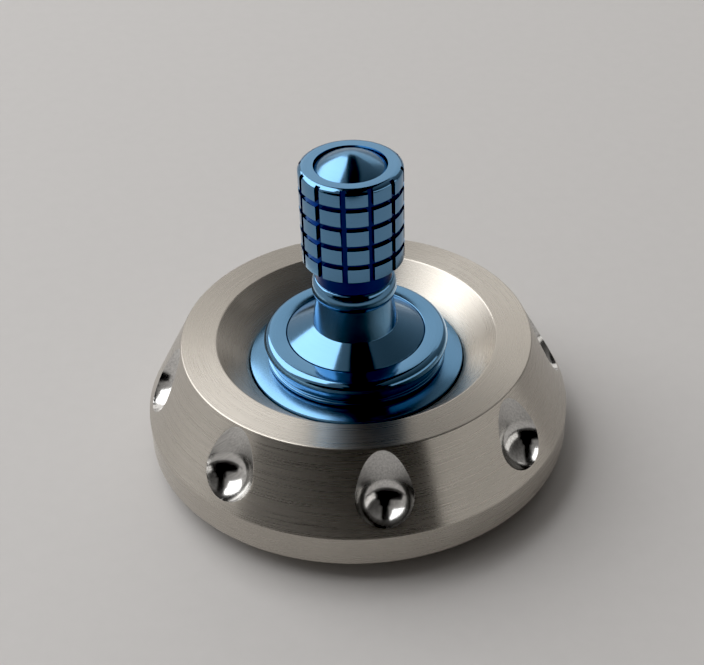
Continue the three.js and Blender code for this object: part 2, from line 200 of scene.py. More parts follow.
class SPINTOP_PG_grip(bpy.types.PropertyGroup):
    round: length("Rim rounding", "How far the rounding of the upper edge reaches down", 0.37)
    round_in: length("Rim reach", "How far the rounding of the upper edge reaches inwards", 0.5)
    bottom_chamfer: length("Bottom chamfer", "Chamfer on the grip's lower edge", 0.15)
    groove_depth: length("Groove depth", "Depth of the grip's grooves", 0.22)
    groove_width: length("Ring groove width", "Width of the grooves round the grip", 0.42)
    first_groove: length("First groove", "Lowest ring groove above the grip's foot", 1.43)
    groove_pitch: length("Groove pitch", "Distance between ring grooves", 1.553)
    grooves: count("Ring grooves", "Grooves round the grip", 4)
    slots: count("Slots", "Upright grooves", 12)
    slot_width: length("Slot width", "Width of the upright grooves", 0.4)
    slot_phase: angle("Slot phase", "Bearing of the first slot, from -Y towards +X", -9.5)
    recess: length("Recess", "Radius of the recess round the cap", 2.6)
    bore: length("Bore", "Bore over the handle's post", 1.9)
    edge: length("Edge rounding", "Rounding of the tiles", 0.06)
    cap_edge: length("Cap edge", "Edge of the cap's dome below the top of the grip", 0.22)
    cap_edge_slope: angle("Cap edge slope", "Slope of the cap's dome at its edge", 38.0)
    cap_nose_slope: angle("Cap nose slope", "Slope of the dome where its nose begins", 19.0)
    cap_nose: length("Cap nose", "Radius where the dome's nose begins", 0.75)
    cap_head: length("Cap head", "Thickness of the cap's head below its dome", 1.21)
    cap_screw: length("Cap screw", "Radius of the cap's screw", 0.9)


class SPINTOP_PG_underside(bpy.types.PropertyGroup):
    clamp_bore: length("Clamp bore", "Bore of the clamp ring and its washer", 5.05)
    spanner_hole: length("Spanner hole", "Radius of the two spanner holes", 0.6)
    spanner_place: length("Spanner place", "Distance of the spanner holes from the axis", 6.9)
    handle_seal: length("Handle seal", "Centre line of the o-ring under the handle", 3.7)
    tip_seal: length("Tip seal", "Centre line of the o-ring over the tip", 2.5)
    grip_ring: length("Grip ring", "Centre line of the o-ring under the cap", 2.15)
    head_top: length("Head top", "Height of the tip head's upper face", 2.6)
    head_shoulder: length("Head shoulder", "Height where the tip's head narrows", 1.5)
    thread: length("Tip thread", "Crest of the tip's thread", 2.0)
    thread_depth: length("Thread depth", "Depth of the tip's thread", 0.2)
    thread_pitch: length("Thread pitch", "Rise of the tip's thread in one turn", 0.5)
    pocket: length("Ball pocket", "Radius of the ball's pocket", 1.55)
    pocket_top: length("Pocket top", "Height of the pocket's end", 3.02)
    lip: length("Lip", "Outer radius of the lip round the ball", 1.8)
    flats: length("Flats", "Across the spanner flats", 5.6)
    flats_top: length("Flats top", "Height of the spanner flats", 2.0)
    edge: length("Edge rounding", "Rounding of the small pieces' edges", 0.05)


class SPINTOP_PG_finish(bpy.types.PropertyGroup):
    steel: colour("Steel", "Turned stainless steel", (0.50, 0.467, 0.42))
    steel_roughness: share("Steel roughness", "Roughness of the turned steel", 0.28)
    steel_streak: share("Steel streak", "How far the turning marks stretch reflections", 0.85)
    blue: colour("Blue", "Blue anodised metal", (0.14, 0.29, 0.46))
    blue_roughness: share("Blue roughness", "Roughness of the polished blue metal", 0.12)
    # Groove is painted shade: a dark navy that darkens the grip's groove floors and side walls and the
    # handle's neck under the grip.
    groove: colour("Groove", "Blue metal in the bottom of the grip's grooves", (0.012, 0.03, 0.12))
    blue_streak: share("Blue streak", "How far the blue metal's turning marks stretch reflections", 0.5)
    satin_roughness: share("Satin roughness", "Roughness of the hub insert", 0.2)
    satin_streak: share("Satin streak", "How far the hub insert's turning marks stretch reflections", 0.8)
    dark_steel: colour("Dark steel", "Clamp ring and tip carrier", (0.36, 0.35, 0.34))
    polished: colour("Polished steel", "The ball and the dimples", (0.72, 0.71, 0.69))
    rubber: colour("Rubber", "The o-rings", (0.018, 0.018, 0.02))
    nylon: colour("Nylon", "The washer", (0.72, 0.69, 0.62))
    floor: colour("Floor", "The pale floor", (0.63, 0.61, 0.595))


GROUPS = {
    "wheel": SPINTOP_PG_wheel,
    "hub": SPINTOP_PG_hub,
    "handle": SPINTOP_PG_handle,
    "grip": SPINTOP_PG_grip,
    "underside": SPINTOP_PG_underside,
    "finish": SPINTOP_PG_finish,
}


class SPINTOP_PG_top(bpy.types.PropertyGroup):
    """All the top's sizes and colours."""
    __annotations__ = {
        key: bpy.props.PointerProperty(type=group, name=key.capitalize(), description=f"Sizes of the {key}")
        for key, group in GROUPS.items()
    }


# ---- modelling helpers ----------------------------------------------------------------------------

def deselect_all():
    if bpy.context.mode != "OBJECT":
        bpy.ops.object.mode_set(mode="OBJECT")
    bpy.ops.object.select_all(action="DESELECT")


def pick(piece):
    """Makes one object the only selected and the active one."""
    deselect_all()
    piece.select_set(True)
    bpy.context.view_layer.objects.active = piece


def arc(radius, height, size, start, end):
    """Points of an arc round (radius, height), from one angle to another, in degrees."""
    start, end = math.radians(start), math.radians(end)
    steps = max(2, round(abs(end - start) / ARC_STEP))
    angles = (start + (end - start) * i / steps for i in range(steps + 1))
    return [(radius + size * math.cos(a), height + size * math.sin(a)) for a in angles]


def finely(outline, spacing, hold):
    """Divides a closed outline's long lines, with a point held close to each corner."""
    fine = []
    for (r0, h0), (r1, h1) in zip(outline, outline[1:] + outline[:1]):
        size = math.hypot(r1 - r0, h1 - h0)
        steps = max(1, round((size - 2 * hold) / spacing))
        places = [0.0] + [(hold + (size - 2 * hold) * i / steps) / size for i in range(steps + 1)]
        if size < 4 * hold:
            places = [0.0]
        fine += [(r0 + (r1 - r0) * t, h0 + (h1 - h0) * t) for t in places]
    return fine


def close_pole(height, rise):
    """Draws the selected ring of edges in to a point on the spin axis."""
    bpy.ops.mesh.extrude_region_move(TRANSFORM_OT_translate={"value": (0.0, 0.0, rise)})
    bpy.ops.transform.resize(value=(0.0, 0.0, 1.0), center_override=(0.0, 0.0, height + rise))
    bpy.ops.mesh.select_all(action="SELECT")
    bpy.ops.mesh.remove_doubles(threshold=WELD)


def turn(name, outline, sides, phase=0.0):
    """Turns an outline of (radius, height) points: a circle is extruded and scaled from point to point.
    An outline that starts and ends on the axis is closed at its poles, and any other closes on itself."""
    deselect_all()
    solid_core = outline[0][0] == 0.0
    rings = outline[1:-1] if solid_core else outline + outline[:1]
    radius, height = rings[0]
    bpy.ops.mesh.primitive_circle_add(
        vertices=sides, radius=radius, enter_editmode=True, rotation=(0, 0, phase))
    piece = bpy.context.object
    piece.name = name
    piece.data.name = name
    bpy.ops.object.mode_set(mode="OBJECT")
    bpy.ops.object.transform_apply(location=True, rotation=True, scale=True)
    bpy.ops.object.mode_set(mode="EDIT")
    bpy.ops.mesh.select_mode(type="EDGE")
    bpy.ops.mesh.select_all(action="SELECT")
    bpy.ops.transform.translate(value=(0.0, 0.0, height))
    for next_radius, next_height in rings[1:]:
        bpy.ops.mesh.extrude_region_move(
            TRANSFORM_OT_translate={"value": (0.0, 0.0, next_height - height)})
        scale = next_radius / radius
        bpy.ops.transform.resize(value=(scale, scale, 1.0), center_override=(0.0, 0.0, next_height))
        radius, height = next_radius, next_height
    if solid_core:
        close_pole(height, outline[-1][1] - height)
        bpy.ops.mesh.select_all(action="DESELECT")
        bpy.ops.mesh.select_non_manifold(extend=False)
        close_pole(rings[0][1], outline[0][1] - rings[0][1])
    bpy.ops.mesh.select_all(action="SELECT")
    bpy.ops.mesh.remove_doubles(threshold=WELD)
    bpy.ops.mesh.normals_make_consistent(inside=False)
    bpy.ops.object.mode_set(mode="OBJECT")
    return piece


def apply_modifier(piece, kind, **settings):
    pick(piece)
    modifier = piece.modifiers.new(kind.title(), kind)
    for key, value in settings.items():
        setattr(modifier, key, value)
    bpy.ops.object.modifier_apply(modifier=modifier.name)


def soften(piece, width, segments=3, limit=24.0):
    """Rounds the sharp edges of a piece, and shades it smooth without bending its flat faces."""
    apply_modifier(piece, "BEVEL", width=width, segments=segments, limit_method="ANGLE",
                   angle_limit=math.radians(limit), miter_outer="MITER_ARC", use_clamp_overlap=True)
    smooth(piece)


def smooth(piece, limit=SMOOTH_LIMIT):
    pick(piece)
    bpy.ops.object.shade_smooth_by_angle(angle=math.radians(limit))
    apply_modifier(piece, "WEIGHTED_NORMAL", mode="FACE_AREA", weight=80, keep_sharp=True)


def cut(piece, cutter):
    """Cuts one piece out of another, keeps the cutter's finish on the new faces, and removes the cutter."""
    apply_modifier(piece, "BOOLEAN", operation="DIFFERENCE", solver="EXACT", object=cutter,
                   material_mode="TRANSFER")
    bpy.data.objects.remove(cutter)


def polish_rims(piece, width):
    """Rounds the rims where a cutter's finish meets the piece's own."""
    pick(piece)
    piece.active_material_index = 1
    bpy.ops.object.mode_set(mode="EDIT")
    bpy.ops.mesh.select_all(action="DESELECT")
    bpy.ops.object.material_slot_select()
    bpy.ops.mesh.region_to_loop()
    bpy.ops.mesh.remove_doubles(threshold=width / 4)
    bpy.ops.mesh.bevel(offset=width, segments=3, clamp_overlap=True)
    bpy.ops.object.mode_set(mode="OBJECT")


def place(piece):
    """Puts a piece's turn, place and size into its mesh."""
    pick(piece)
    bpy.ops.object.transform_apply(location=True, rotation=True, scale=True)


def spaced_copies(piece, number):
    """Joins copies of a piece, evenly spaced round the spin axis, into one object."""
    copies = [piece]
    for i in range(1, number):
        copy = piece.copy()
        copy.data = piece.data.copy()
        bpy.context.collection.objects.link(copy)
        copy.rotation_euler.z = math.tau * i / number
        place(copy)
        copies.append(copy)
    pick(piece)
    for copy in copies:
        copy.select_set(True)
    bpy.ops.object.join()
    return piece


def dress(piece, material):
    piece.data.materials.clear()
    piece.data.materials.append(material)


def hand_over(piece, node, body):
    """Lets a finished piece stand for its CAD node and ride on its body."""
    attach(piece, body)
    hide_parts(node)


# ---- materials ------------------------------------------------------------------------------------

def new_material(name):
    material = bpy.data.materials.new(name)
    material.use_nodes = True
    nodes = material.node_tree.nodes
    return material, nodes, material.node_tree.links, nodes["Principled BSDF"]


def turned_place(nodes, links, swirl):
    """Object coordinates as (radius, height, a little of the angle), so noise runs round the spin axis."""
    coords = nodes.new("ShaderNodeTexCoord")
    split = nodes.new("ShaderNodeSeparateXYZ")
    flat = nodes.new("ShaderNodeVectorMath")
    flat.operation = "MULTIPLY"
    flat.inputs[1].default_value = (1.0, 1.0, 0.0)
    radius = nodes.new("ShaderNodeVectorMath")
    radius.operation = "LENGTH"
    bearing = nodes.new("ShaderNodeVectorMath")
    bearing.operation = "NORMALIZE"
    stretch = nodes.new("ShaderNodeVectorMath")
    stretch.operation = "SCALE"
    stretch.inputs["Scale"].default_value = swirl
    join = nodes.new("ShaderNodeCombineXYZ")
    total = nodes.new("ShaderNodeVectorMath")
    total.operation = "ADD"
    links.new(coords.outputs["Object"], split.inputs[0])
    links.new(coords.outputs["Object"], flat.inputs[0])
    links.new(flat.outputs[0], radius.inputs[0])
    links.new(flat.outputs[0], bearing.inputs[0])
    links.new(bearing.outputs[0], stretch.inputs[0])
    links.new(radius.outputs["Value"], join.inputs[0])
    links.new(split.outputs["Z"], join.inputs[1])
    links.new(join.outputs[0], total.inputs[0])
    links.new(stretch.outputs[0], total.inputs[1])
    return total.outputs[0], coords.outputs["Object"]


def noise(nodes, links, vector, scale, detail=3.0, rough=0.6):
    texture = nodes.new("ShaderNodeTexNoise")
    texture.inputs["Scale"].default_value = scale
    texture.inputs["Detail"].default_value = detail
    texture.inputs["Roughness"].default_value = rough
    links.new(vector, texture.inputs["Vector"])
    return texture.outputs["Fac"]


def span(nodes, links, value, low, high):
    """Spreads a noise value over a range."""
    ramp = nodes.new("ShaderNodeMapRange")
    ramp.inputs["From Min"].default_value = NOISE_LOW
    ramp.inputs["From Max"].default_value = NOISE_HIGH
    ramp.inputs["To Min"].default_value = low
    ramp.inputs["To Max"].default_value = high
    links.new(value, ramp.inputs["Value"])
    return ramp.outputs["Result"]


def tint(nodes, links, value, dark, light):
    ramp = nodes.new("ShaderNodeValToRGB")
    ramp.color_ramp.elements[0].color = (*dark, 1.0)
    ramp.color_ramp.elements[1].color = (*light, 1.0)
    ramp.color_ramp.elements[0].position = NOISE_LOW
    ramp.color_ramp.elements[1].position = NOISE_HIGH
    links.new(value, ramp.inputs["Fac"])
    return ramp.outputs["Color"]


def bump(nodes, links, shader, value, strength, distance):
    node = nodes.new("ShaderNodeBump")
    node.inputs["Strength"].default_value = strength
    node.inputs["Distance"].default_value = distance
    links.new(value, node.inputs["Height"])
    links.new(node.outputs["Normal"], shader.inputs["Normal"])


def shade(base, factor):
    return tuple(min(1.0, c * factor) for c in base)


def turned_metal(name, base, roughness, streak, line_scale, line_depth):
    """Metal with turning marks round the spin axis, faint blotches and slightly uneven roughness."""
    material, nodes, links, shader = new_material(name)
    around, plain = turned_place(nodes, links, 0.0002)
    lines = noise(nodes, links, around, line_scale, 3.0, 0.65)
    blotch = noise(nodes, links, plain, 260.0, 3.0, 0.55)
    marks = nodes.new("ShaderNodeMath")
    marks.operation = "MULTIPLY_ADD"
    marks.inputs[1].default_value = 0.5
    links.new(lines, marks.inputs[0])
    halved = nodes.new("ShaderNodeMath")
    halved.operation = "MULTIPLY"
    halved.inputs[1].default_value = 0.5
    links.new(blotch, halved.inputs[0])
    links.new(halved.outputs[0], marks.inputs[2])
    links.new(tint(nodes, links, marks.outputs[0], shade(base, 0.94), shade(base, 1.04)),
              shader.inputs["Base Color"])
    links.new(span(nodes, links, lines, roughness * 0.88, roughness * 1.14), shader.inputs["Roughness"])
    shader.inputs["Metallic"].default_value = 1.0
    if streak:
        shader.inputs["Anisotropic"].default_value = streak
        shader.inputs["Anisotropic Rotation"].default_value = 0.25
        tangent = nodes.new("ShaderNodeTangent")
        tangent.direction_type = "RADIAL"
        tangent.axis = "Z"
        links.new(tangent.outputs[0], shader.inputs["Tangent"])
    bump(nodes, links, shader, lines, 0.6, line_depth)
    return material


def milled_metal(name, base, height):
    """A dimple's finish: milled and satin on its upright wall, and polished below the given height."""
    material, nodes, links, shader = new_material(name)
    around, plain = turned_place(nodes, links, 0.02)
    split = nodes.new("ShaderNodeSeparateXYZ")
    links.new(plain, split.inputs[0])
    wall = nodes.new("ShaderNodeMapRange")
    wall.interpolation_type = "SMOOTHSTEP"
    wall.inputs["From Min"].default_value = height - MILLED_BELOW
    wall.inputs["From Max"].default_value = height + MILLED_ABOVE
    wall.inputs["To Min"].default_value = POLISHED_ROUGHNESS
    wall.inputs["To Max"].default_value = MILLED_ROUGHNESS
    links.new(split.outputs["Z"], wall.inputs["Value"])
    links.new(wall.outputs["Result"], shader.inputs["Roughness"])
    lines = noise(nodes, links, around, 5000.0, 3.0, 0.6)
    links.new(tint(nodes, links, lines, shade(base, 0.7), shade(base, 1.08)), shader.inputs["Base Color"])
    shader.inputs["Metallic"].default_value = 1.0
    bump(nodes, links, shader, lines, 0.4, 0.000005)
    return material


def plain_finish(name, base, roughness, grain, depth, metallic=0.0):
    """Rubber, nylon and ball finishes: one colour with fine grain."""
    material, nodes, links, shader = new_material(name)
    coords = nodes.new("ShaderNodeTexCoord")
    texture = noise(nodes, links, coords.outputs["Object"], grain, 4.0, 0.6)
    links.new(tint(nodes, links, texture, shade(base, 0.85), shade(base, 1.12)),
              shader.inputs["Base Color"])
    links.new(span(nodes, links, texture, roughness * 0.9, roughness * 1.15), shader.inputs["Roughness"])
    shader.inputs["Metallic"].default_value = metallic
    bump(nodes, links, shader, texture, 0.2, depth)
    return material


def finishes():
    """The top's materials, made once and named after what they finish, except the dark navy one, which is
    painted shade in the grip's grooves and on the neck under the grip.
    """
    look = bpy.context.scene.spinning_top.finish
    made = bpy.data.materials
    if "top_steel" not in made:
        turned_metal("top_steel", look.steel, look.steel_roughness, look.steel_streak, 11000.0, 0.000002)
        milled_metal("top_dimple", look.polished,
                     WHEEL_HIGH[2] - bpy.context.scene.spinning_top.wheel.dimple_drop)
        turned_metal("top_blue", look.blue, look.blue_roughness, look.blue_streak, 5000.0, 0.000001)
        turned_metal("top_satin", look.blue, look.satin_roughness, look.satin_streak, 5000.0, 0.000001)
        # Painted shade: the dark navy finish that stands for the shade in the grip's grooves and under the
        # grip.
        turned_metal("top_painted_shade", look.groove, 0.22, 0.0, 9000.0, 0.000001)
        turned_metal("top_dark", look.dark_steel, 0.3, 0.4, 9000.0, 0.000003)
        plain_finish("top_ball", look.polished, 0.06, 900.0, 0.0000004, metallic=1.0)
        plain_finish("top_rubber", look.rubber, 0.6, 5000.0, 0.000008)
        plain_finish("top_nylon", look.nylon, 0.5, 3000.0, 0.000004)
    return made


# ---- operators ------------------------------------------------------------------------------------

class SPINTOP_OT_flywheel(bpy.types.Operator):
    """Turn the steel flywheel and mill its finger dimples"""
    bl_idname = "spintop.flywheel"
    bl_label = "Flywheel"

    def execute(self, context):
        size = context.scene.spinning_top.wheel
        low, high, rim = WHEEL_LOW[2], WHEEL_HIGH[2], WHEEL_HIGH[0]
        band_bottom = low + size.chamfer
        dish_floor = high - size.dish_depth
        outline = [
            (size.bore, low + size.pocket_depth),
            (size.pocket, low + size.pocket_depth),
            (size.pocket, low),
            (rim - size.chamfer, low),
            (rim, band_bottom),
            (rim, band_bottom + size.band),
            (size.ring_outside, high),
            (size.ring_inside, high),
            (size.dish_floor, dish_floor),
            (size.seat, dish_floor - (size.dish_floor - size.seat)),
            (size.seat, dish_floor - size.seat_depth),
            (size.bore, dish_floor - size.seat_depth),
        ]
        wheel = turn("steel_flywheel", finely(outline, 8 * size.edge, 2 * size.edge), WHEEL_SIDES)
        soften(wheel, size.edge)
        made = finishes()
        dress(wheel, made["top_steel"])
        nose, radius = high - size.dimple_drop, size.dimple_radius
        outline = [(0.0, nose - radius)] + arc(0.0, nose, radius, -90, 0)[1:]
        outline += [(radius, high + radius), (0.0, high + radius)]
        cutter = turn("dimple_cutter", outline, SMALL_SIDES)
        smooth(cutter)
        dress(cutter, made["top_dimple"])
        cutter.location = (0.0, -size.dimple_place, 0.0)
        place(cutter)
        cutter.rotation_euler.z = size.dimple_phase
        place(cutter)
        cut(wheel, spaced_copies(cutter, size.dimples))
        polish_rims(wheel, size.dimple_lip)
        pick(wheel)
        bpy.ops.object.shade_smooth_by_angle(angle=math.radians(SMOOTH_LIMIT))
        hand_over(wheel, "flywheel", "wheel")
        return {"FINISHED"}


class SPINTOP_OT_hub_insert(bpy.types.Operator):
    """Turn the blue flange and tube that carry the handle and the tip"""
    bl_idname = "spintop.hub_insert"
    bl_label = "Hub insert"

    def execute(self, context):
        size = context.scene.spinning_top.hub
        flange = HUB_HIGH[0]
        edge = WHEEL_HIGH[2] - context.scene.spinning_top.wheel.dish_depth + size.flange_edge
        top = HUB_HIGH[2]
        bottom = HUB_LOW[2]
        outline = [
            (size.tip_bore, size.counterbore_top),
            (size.counterbore, size.counterbore_top),
            (size.counterbore, bottom),
            (size.tube, bottom),
            (size.tube, edge - size.flange_thickness),
            (flange, edge - size.flange_thickness),
            (flange, edge),
            (size.waist, top),
            (size.groove_outside, top),
            (size.groove_outside, top - size.groove_depth),
            (size.groove_inside, top - size.groove_depth),
            (size.groove_inside, top),
            (size.handle_bore, top),
            (size.handle_bore, size.tip_bore_top),
            (size.tip_bore, size.tip_bore_top),
        ]
        hub = turn("blue_hub_insert", outline, HANDLE_SIDES)
        soften(hub, size.edge)
        dress(hub, finishes()["top_satin"])
        hand_over(hub, "hub_insert", "wheel")
        return {"FINISHED"}


class SPINTOP_OT_hub_cap(bpy.types.Operator):
    """Turn the two-step button that the handle's flare holds down"""
    bl_idname = "spintop.hub_cap"
    bl_label = "Hub cap"

    def execute(self, context):
        size = context.scene.spinning_top.hub
        bottom, top, outside = HUB_CAP_LOW[2], HUB_CAP_HIGH[2], HUB_CAP_HIGH[0]
        ledge = top - size.seam_depth
        outline = [
            (size.spigot, bottom),
            (size.lip, bottom),
            (size.lip, bottom + size.lip_height),
            (size.waist, bottom + 1.2 * size.lip_height),
            (size.waist + 0.15 * MM, top - size.step_height),
            *arc(outside - size.step_round, top - size.step_round, size.step_round, -25, 90),
            (size.seam, top),
            (size.seam, ledge),
            (size.spigot, ledge),
        ]
        cap = turn("blue_hub_cap", outline, HANDLE_SIDES)
        soften(cap, size.edge)
        dress(cap, finishes()["top_blue"])
        hand_over(cap, "hub_cap", "handle_group")
        return {"FINISHED"}


def thread_ridges(size, low, high):
    """Outline of a thread's ridges, as many whole turns as fit between two heights."""
    root, pitch = size.thread - size.thread_depth, size.thread_pitch
    turns = int((high - low) / pitch) - 1
    foot = (low + high - turns * pitch) / 2
    points = []
    for turn_count in range(turns):
        base = foot + turn_count * pitch
        points += [(root, base), (size.thread, base + CREST_START * pitch),
                   (size.thread, base + CREST_END * pitch)]
    return points + [(root, foot + turns * pitch)]


def bulge(size, ring):
    """The bead: two quarters of ellipses that meet at its widest place."""
    points = []
    for step in range(-9, 10):
        slant = math.radians(10 * step)
        inside, reach = (size.neck, size.bead_top) if step > 0 else (size.column, size.column_top)
        points.append((inside + (size.bead - inside) * math.cos(slant),
                       ring + size.bead_middle + abs(reach - size.bead_middle) * math.sin(slant)))
    return points[1:]


class SPINTOP_OT_handle(bpy.types.Operator):
    """Turn the flare, column, bead, neck and post"""
    bl_idname = "spintop.handle"
    bl_label = "Handle"

    def execute(self, context):
        size = context.scene.spinning_top.handle
        ring = WHEEL_HIGH[2]
        rim = HUB_CAP_HIGH[2]
        root = size.thread - size.thread_depth
        outline = [
            (0.0, HANDLE_LOW[2]),
            (root, HANDLE_LOW[2]),
            *thread_ridges(size, HANDLE_LOW[2], HUB_CAP_LOW[2]),
            (root, HUB_CAP_LOW[2]),
            (size.spigot, HUB_CAP_LOW[2]),
            (size.spigot, rim - size.flare_edge),
            (size.flare, rim - size.flare_edge),
            (size.flare, rim),
            (size.foot, ring + size.flare_top),
            (size.column, ring + size.column_top),
            *bulge(size, ring),
            (size.neck, GRIP_LOW[2]),
            (size.post, GRIP_LOW[2]),
            (size.post, HANDLE_HIGH[2]),
            (size.screw_bore, HANDLE_HIGH[2]),
            (size.screw_bore, HANDLE_HIGH[2] - size.screw_bore_depth),
            (0.0, HANDLE_HIGH[2] - size.screw_bore_depth),
        ]
        handle = turn("blue_handle", outline, HANDLE_SIDES)
        soften(handle, size.edge)
        dress(handle, finishes()["top_blue"])
        # Painted shade: the neck between the bead and the grip takes the dark navy groove finish, which
        # stands for the shade under the grip.
        handle.data.materials.append(finishes()["top_painted_shade"])
        for face in handle.data.polygons:
            if ring + size.bead_top < face.center.z < GRIP_LOW[2] and face.center.xy.length < size.bead:
                face.material_index = 1
        hand_over(handle, "handle", "handle_group")
        return {"FINISHED"}


class SPINTOP_OT_grip(bpy.types.Operator):
    """Turn the finger grip and cut its tiles"""
    bl_idname = "spintop.grip"
    bl_label = "Finger grip"

    def execute(self, context):
        size = context.scene.spinning_top.grip
        bottom, top, outside = GRIP_LOW[2], GRIP_HIGH[2], GRIP_HIGH[0]
        root = outside - size.groove_depth
        outline = [
            (size.bore, bottom),
            (outside - size.bottom_chamfer, bottom),
            (outside, bottom + size.bottom_chamfer),
        ]
        for i in range(size.grooves):
            centre = bottom + size.first_groove + i * size.groove_pitch
            below, above = centre - size.groove_width / 2, centre + size.groove_width / 2
            outline += [(outside, below), (root, below), (root, above), (outside, above)]
        outline += [(outside - size.round_in * (1.0 - math.cos(a)), top - size.round * (1.0 - math.sin(a)))
                    for a in (math.radians(t) for t in range(0, 91, 9))]
        outline += [
            (size.recess, top),
            (size.recess, HANDLE_HIGH[2]),
            (size.bore, HANDLE_HIGH[2]),
        ]
        grip = turn("blue_grip_sleeve", outline, HANDLE_SIDES, phase=size.slot_phase)
        deselect_all()
        bpy.ops.mesh.primitive_cube_add(size=1.0)
        slot = context.object
        slot.scale = (size.slot_width, 2 * size.groove_depth, 2 * (top - bottom))
        slot.location = (0.0, -outside, (bottom + top) / 2)
        place(slot)
        slot.rotation_euler.z = size.slot_phase
        place(slot)
        cut(grip, spaced_copies(slot, size.slots))
        soften(grip, size.edge, segments=2, limit=30.0)
        dress(grip, finishes()["top_blue"])
        # Painted shade: the floors and the side and downward walls of the grooves and slots take the dark
        # navy groove finish, while the upward-facing walls keep the plain blue.
        grip.data.materials.append(finishes()["top_painted_shade"])
        for face in grip.data.polygons:
            depth = outside - face.center.xy.length
            sunk = size.edge < depth < 1.5 * size.groove_depth and bottom < face.center.z < top - size.round
            if sunk and face.normal.z < 0.5:
                face.material_index = 1
        hand_over(grip, "grip_sleeve", "handle_group")
        return {"FINISHED"}


class SPINTOP_OT_cap(bpy.types.Operator):
    """Turn the domed screw in the top of the grip"""
    bl_idname = "spintop.cap"
    bl_label = "Grip cap"

    def execute(self, context):
        size = context.scene.spinning_top.grip
        radius, edge = CAP_HIGH[0], GRIP_HIGH[2] - size.cap_edge
        edge_slope, nose_slope = size.cap_edge_slope, size.cap_nose_slope
        side = (radius - size.cap_nose) / (math.sin(edge_slope) - math.sin(nose_slope))
        side_centre = edge - side * math.cos(edge_slope)
        nose_radius = size.cap_nose / math.sin(nose_slope)
        nose_centre = side_centre + (side - nose_radius) * math.cos(nose_slope)
        from_edge, from_nose = 90 - math.degrees(edge_slope), 90 - math.degrees(nose_slope)
        head = edge - size.cap_head
        outline = [
            (0.0, CAP_LOW[2]),
            (size.cap_screw, CAP_LOW[2]),
            (size.cap_screw, head),
            (radius, head),
            *arc(radius - side * math.sin(edge_slope), side_centre, side, from_edge, from_nose),
            *arc(0.0, nose_centre, nose_radius, from_nose, 90)[1:-1],
            (0.0, nose_centre + nose_radius),
        ]
        cap = turn("blue_grip_cap", outline, SMALL_SIDES)
        soften(cap, size.edge)
        dress(cap, finishes()["top_satin"])
        hand_over(cap, "grip_cap", "handle_group")
        return {"FINISHED"}


class SPINTOP_OT_clamp(bpy.types.Operator):
    """Turn the clamp ring under the flywheel and the washer above it"""
    bl_idname = "spintop.clamp"
    bl_label = "Clamp ring and washer"

    def execute(self, context):
        size = context.scene.spinning_top.underside
        made = finishes()
        pieces = (
            ("steel_clamp_ring", "clamp_ring", CLAMP_LOW, CLAMP_HIGH, "top_dark", "dark_steel"),
            ("nylon_washer", "clamp_washer", WASHER_LOW, WASHER_HIGH, "top_nylon", "nylon"),
        )
        for name, node, low, high, finish, slot in pieces:
            outline = [
                (size.clamp_bore, low[2]),
                (high[0], low[2]),
                (high[0], high[2]),
                (size.clamp_bore, high[2]),
            ]
            ring = turn(name, outline, SMALL_SIDES)
            if node == "clamp_ring":
                deselect_all()
                bpy.ops.mesh.primitive_cylinder_add(
                    vertices=48, radius=size.spanner_hole, depth=4 * (high[2] - low[2]),
                    location=(0.0, -size.spanner_place, low[2]))
                hole = context.object
                place(hole)
                cut(ring, spaced_copies(hole, 2))
            soften(ring, size.edge, segments=2)
            dress(ring, made[finish])
            hand_over(ring, node, "wheel")
        return {"FINISHED"}


class SPINTOP_OT_seals(bpy.types.Operator):
    """Make the three o-rings"""
    bl_idname = "spintop.seals"
    bl_label = "O-rings"

    def execute(self, context):
        size = context.scene.spinning_top.underside
        seals = (
            ("rubber_handle_seal", "handle_seal", size.handle_seal, "handle_thread"),
            ("rubber_tip_seal", "tip_seal", size.tip_seal, "tip_thread"),
            ("rubber_grip_ring", "grip_ring", size.grip_ring, "handle_group"),
        )
        for name, node, radius, body in seals:
            low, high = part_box(node)
            middle = (low[2] + high[2]) / 2
            deselect_all()
            bpy.ops.mesh.primitive_torus_add(
                major_radius=radius, minor_radius=(high[2] - low[2]) / 2,
                major_segments=SMALL_SIDES, minor_segments=TORUS_SIDES, location=(0.0, 0.0, middle))
            ring = context.object
            ring.name = name
            place(ring)
            bpy.ops.object.mode_set(mode="EDIT")
            bpy.ops.mesh.select_mode(type="EDGE")
            bpy.ops.mesh.select_all(action="DESELECT")
            bpy.ops.object.mode_set(mode="OBJECT")
            for edge in ring.data.edges:
                ends = [ring.data.vertices[i].co for i in edge.vertices]
                edge.select = all(abs(co.z - middle) < 1e-6 and co.xy.length > radius for co in ends)
            bpy.ops.object.mode_set(mode="EDIT")
            bpy.ops.mesh.bevel(offset=0.02 * MM, segments=2)
            bpy.ops.object.mode_set(mode="OBJECT")
            smooth(ring, TORUS_SMOOTH_LIMIT)
            dress(ring, finishes()["top_rubber"])
            hand_over(ring, node, body)
        return {"FINISHED"}


